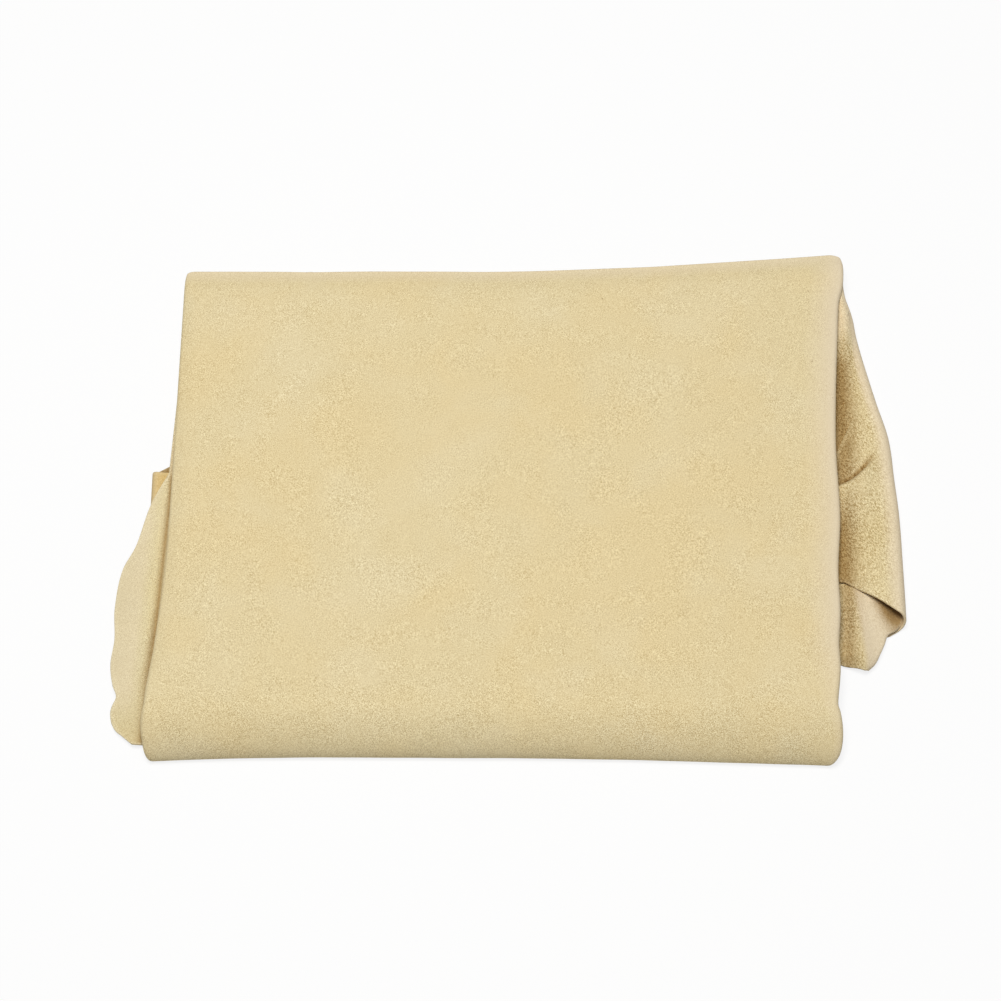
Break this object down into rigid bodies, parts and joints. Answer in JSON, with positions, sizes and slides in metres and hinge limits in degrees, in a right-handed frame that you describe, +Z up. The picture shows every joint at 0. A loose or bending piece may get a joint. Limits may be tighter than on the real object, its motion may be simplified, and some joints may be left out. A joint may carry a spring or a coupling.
{
  "type": "chamois leather",
  "caption": "Natural chamois skin folded into a flat pad, with a fat front roll, a loose raw-edged flap and a wrapped leg; for wiping and drying.",
  "frame": {"origin": "middle of the folded skin's footprint, on the table", "axes": "+X to the right along the front roll, +Y away from the front roll, +Z up"},
  "size_m": [0.3134, 0.2182, 0.0163],
  "materials": {
    "cream_face": "soft cream suede nap, mottled",
    "pale_back": "paler suede nap of the skin's other face",
    "tan_fold": "tan suede in the deep folds, coarser nap"
  },
  "bodies": {
    "middle_panel": {"middle_upper_ply": "pale_back", "middle_lower_ply": "cream_face", "front_fold_outer": "cream_face", "front_fold_inner": "pale_back", "back_fold_outer": "pale_back", "back_fold_inner": "cream_face"},
    "top_panel": {"top_upper_ply": "cream_face", "top_lower_ply": "pale_back"},
    "base_panel": {"base_upper_ply": "cream_face", "base_lower_ply": "pale_back", "left_tuck": "tan_fold"},
    "left_margin": {"left_flap": "pale_back"},
    "right_margin": {"right_leg": "tan_fold", "right_leg_tab": "cream_face"}
  },
  "joints": [
    {"name": "front_fold", "type": "hinge", "parent": "middle_panel", "child": "top_panel", "pos_m": [-0.00255, -0.10559, 0.00768], "axis": [1, 0, 0], "range_deg": [0, 180], "deforming": ["front_fold_outer", "front_fold_inner"]},
    {"name": "back_fold", "type": "hinge", "parent": "middle_panel", "child": "base_panel", "pos_m": [-0.00255, 0.09863, 0.00415], "axis": [1, 0, 0], "range_deg": [0, 180], "deforming": ["back_fold_outer", "back_fold_inner"]},
    {"name": "left_flap_lift", "type": "hinge", "parent": "middle_panel", "child": "left_margin", "pos_m": [-0.13679, 0.00103, 0.0084], "axis": [0.0531, 0.9986, 0], "range_deg": [0, 90]},
    {"name": "right_leg_lift", "type": "hinge", "parent": "middle_panel", "child": "right_margin", "pos_m": [0.13345, 0.00103, 0.0084], "axis": [-0.0476, -0.9989, 0], "range_deg": [0, 90]}
  ]
}
